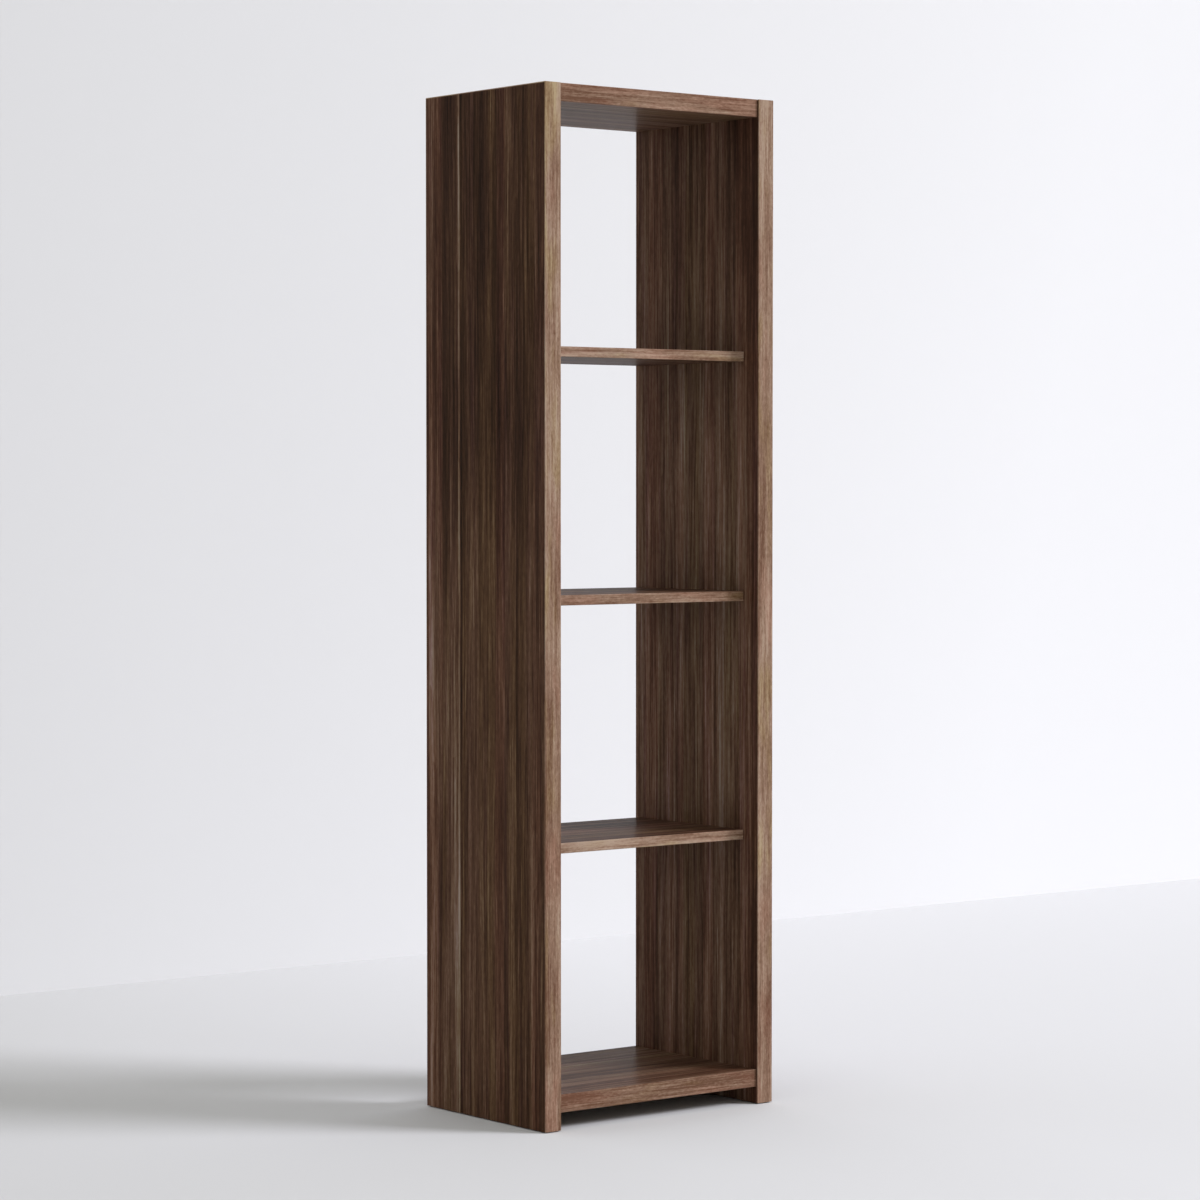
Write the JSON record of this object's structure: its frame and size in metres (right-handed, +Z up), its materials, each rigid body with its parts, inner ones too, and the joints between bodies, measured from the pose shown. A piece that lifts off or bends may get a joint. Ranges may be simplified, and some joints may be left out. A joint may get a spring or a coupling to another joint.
{
  "type": "bookcase",
  "caption": "Tall narrow open bookcase in striped walnut veneer: full-height sides, a top, a raised bottom panel and set-back shelves that slide out, with no back.",
  "frame": {"origin": "on the floor, at the middle of the footprint", "axes": "+Z up, +X to the right as seen from the front, +Y from the front to the rear"},
  "size_m": [0.57, 0.39, 2],
  "materials": {
    "walnut_veneer": "dark striped walnut veneer under satin lacquer",
    "walnut_edging": "lighter solid walnut strip, fine lengthwise grain, satin lacquer",
    "plated_steel": "bright zinc-plated steel",
    "die_cast_zinc": "dull die-cast zinc",
    "beech": "bare beech",
    "nylon": "dark brown moulded nylon",
    "brass": "plain turned brass"
  },
  "bodies": {
    "case": {"bottom_cam_bolts": "plated_steel", "bottom_dowels": "beech", "bottom_front_edging": "walnut_edging", "bottom_panel": "walnut_veneer", "bottom_rear_edging": "walnut_edging", "foot_sleeves": "brass", "left_side_front_edging": "walnut_edging", "left_side_panel": "walnut_veneer", "left_side_rear_edging": "walnut_edging", "left_side_top_edging": "walnut_edging", "lower_shelf_pins": "plated_steel", "middle_shelf_pins": "plated_steel", "right_side_front_edging": "walnut_edging", "right_side_panel": "walnut_veneer", "right_side_rear_edging": "walnut_edging", "right_side_top_edging": "walnut_edging", "top_cam_bolts": "plated_steel", "top_dowels": "beech", "top_front_edging": "walnut_edging", "top_panel": "walnut_veneer", "top_rear_edging": "walnut_edging", "upper_shelf_pins": "plated_steel"},
    "lower_shelf": {"lower_shelf": "walnut_veneer", "lower_shelf_front_edging": "walnut_edging", "lower_shelf_rear_edging": "walnut_edging"},
    "middle_shelf": {"middle_shelf": "walnut_veneer", "middle_shelf_front_edging": "walnut_edging", "middle_shelf_rear_edging": "walnut_edging"},
    "upper_shelf": {"upper_shelf": "walnut_veneer", "upper_shelf_front_edging": "walnut_edging", "upper_shelf_rear_edging": "walnut_edging"},
    "top_left_front_cam": {"top_left_front_cam": "die_cast_zinc"},
    "top_left_rear_cam": {"top_left_rear_cam": "die_cast_zinc"},
    "top_right_front_cam": {"top_right_front_cam": "die_cast_zinc"},
    "top_right_rear_cam": {"top_right_rear_cam": "die_cast_zinc"},
    "bottom_left_front_cam": {"bottom_left_front_cam": "die_cast_zinc"},
    "bottom_left_rear_cam": {"bottom_left_rear_cam": "die_cast_zinc"},
    "bottom_right_front_cam": {"bottom_right_front_cam": "die_cast_zinc"},
    "bottom_right_rear_cam": {"bottom_right_rear_cam": "die_cast_zinc"},
    "left_front_foot": {"left_front_foot_pad": "nylon", "left_front_foot_stud": "plated_steel"},
    "left_rear_foot": {"left_rear_foot_pad": "nylon", "left_rear_foot_stud": "plated_steel"},
    "right_front_foot": {"right_front_foot_pad": "nylon", "right_front_foot_stud": "plated_steel"},
    "right_rear_foot": {"right_rear_foot_pad": "nylon", "right_rear_foot_stud": "plated_steel"}
  },
  "joints": [
    {"name": "lower_shelf_slide", "type": "slide", "parent": "case", "child": "lower_shelf", "axis": [0, -1, 0], "range_m": [0, 0.09]},
    {"name": "middle_shelf_slide", "type": "slide", "parent": "case", "child": "middle_shelf", "axis": [0, -1, 0], "range_m": [0, 0.09]},
    {"name": "upper_shelf_slide", "type": "slide", "parent": "case", "child": "upper_shelf", "axis": [0, -1, 0], "range_m": [0, 0.09]},
    {"name": "top_left_front_cam_turn", "type": "hinge", "parent": "case", "child": "top_left_front_cam", "pos_m": [-0.223, -0.13, 1.9825], "axis": [0, 0, 1], "range_deg": [0, 180]},
    {"name": "top_left_rear_cam_turn", "type": "hinge", "parent": "case", "child": "top_left_rear_cam", "pos_m": [-0.223, 0.135, 1.9825], "axis": [0, 0, 1], "range_deg": [0, 180]},
    {"name": "top_right_front_cam_turn", "type": "hinge", "parent": "case", "child": "top_right_front_cam", "pos_m": [0.223, -0.13, 1.9825], "axis": [0, 0, 1], "range_deg": [0, 180]},
    {"name": "top_right_rear_cam_turn", "type": "hinge", "parent": "case", "child": "top_right_rear_cam", "pos_m": [0.223, 0.135, 1.9825], "axis": [0, 0, 1], "range_deg": [0, 180]},
    {"name": "bottom_left_front_cam_turn", "type": "hinge", "parent": "case", "child": "bottom_left_front_cam", "pos_m": [-0.223, -0.13, 0.0525], "axis": [0, 0, -1], "range_deg": [0, 180]},
    {"name": "bottom_left_rear_cam_turn", "type": "hinge", "parent": "case", "child": "bottom_left_rear_cam", "pos_m": [-0.223, 0.135, 0.0525], "axis": [0, 0, -1], "range_deg": [0, 180]},
    {"name": "bottom_right_front_cam_turn", "type": "hinge", "parent": "case", "child": "bottom_right_front_cam", "pos_m": [0.223, -0.13, 0.0525], "axis": [0, 0, -1], "range_deg": [0, 180]},
    {"name": "bottom_right_rear_cam_turn", "type": "hinge", "parent": "case", "child": "bottom_right_rear_cam", "pos_m": [0.223, 0.135, 0.0525], "axis": [0, 0, -1], "range_deg": [0, 180]},
    {"name": "left_front_foot_screw", "type": "slide", "parent": "case", "child": "left_front_foot", "axis": [0, 0, -1], "range_m": [0, 0.01]},
    {"name": "left_rear_foot_screw", "type": "slide", "parent": "case", "child": "left_rear_foot", "axis": [0, 0, -1], "range_m": [0, 0.01]},
    {"name": "right_front_foot_screw", "type": "slide", "parent": "case", "child": "right_front_foot", "axis": [0, 0, -1], "range_m": [0, 0.01]},
    {"name": "right_rear_foot_screw", "type": "slide", "parent": "case", "child": "right_rear_foot", "axis": [0, 0, -1], "range_m": [0, 0.01]}
  ]
}
